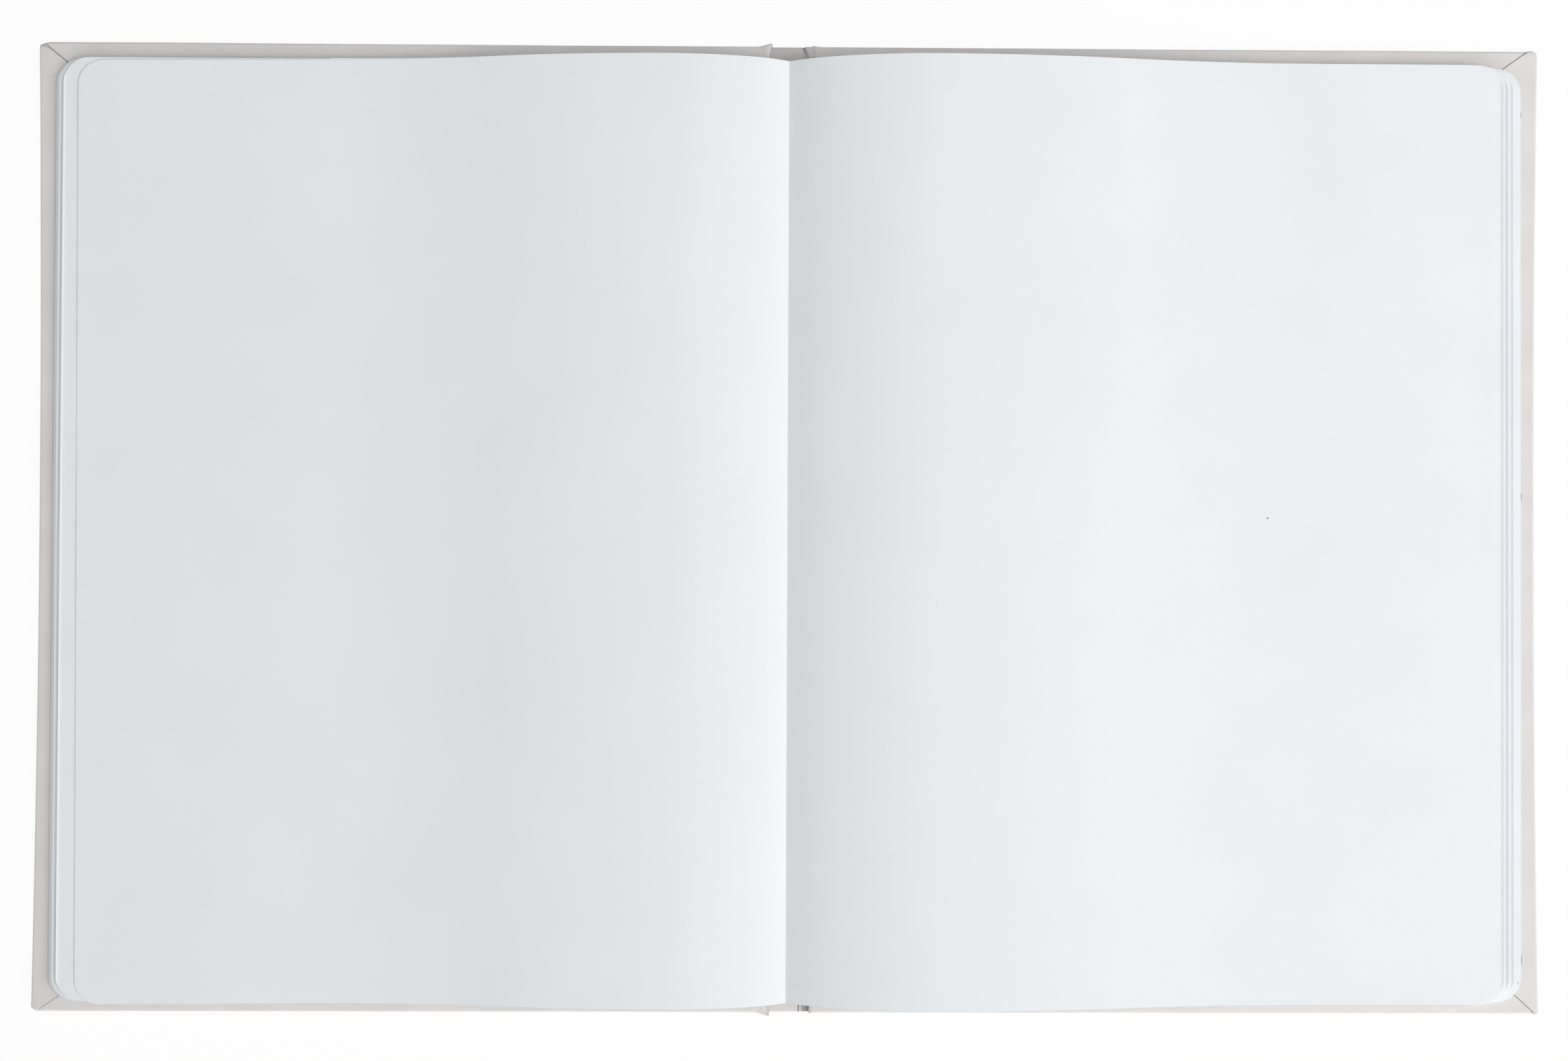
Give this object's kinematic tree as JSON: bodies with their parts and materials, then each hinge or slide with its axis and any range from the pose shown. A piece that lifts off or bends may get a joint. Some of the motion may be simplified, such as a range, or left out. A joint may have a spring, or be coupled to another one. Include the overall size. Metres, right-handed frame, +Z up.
{
  "type": "notebook",
  "caption": "Blank case-bound notebook lying open: pale covered boards hinged at the spine joints, arched page stacks with rounded corners and stepped fore-edges.",
  "frame": {"origin": "centre of the open notebook's underside, on the table below the gutter", "axes": "+X across the spread towards the back cover, +Y towards the head, +Z up from the table"},
  "size_m": [0.387, 0.25, 0.0143],
  "materials": {
    "board": "grey pressed board, inside the covers",
    "covering": "matt pale warm grey covering sheet",
    "endpaper": "matt white endpaper",
    "pages": "matt cool white uncoated paper",
    "lining": "open weave lining, inside the spine"
  },
  "bodies": {
    "back_cover": {"back_board": "board", "back_covering": "covering", "back_endpaper": "endpaper", "back_pages": "pages"},
    "spine": {"spine_board": "board", "spine_covering": "covering", "spine_lining": "lining"},
    "front_cover": {"front_board": "board", "front_covering": "covering", "front_endpaper": "endpaper", "front_pages": "pages"}
  },
  "joints": [
    {"name": "back_joint", "type": "hinge", "parent": "back_cover", "child": "spine", "pos_m": [0.0044, 0, 0.0012], "axis": [0, 1, 0], "range_deg": [0, 90], "deforming": ["spine_covering", "back_pages"]},
    {"name": "front_joint", "type": "hinge", "parent": "spine", "child": "front_cover", "pos_m": [-0.0044, 0, 0.0012], "axis": [0, 1, 0], "range_deg": [0, 90], "deforming": ["front_pages"]}
  ]
}
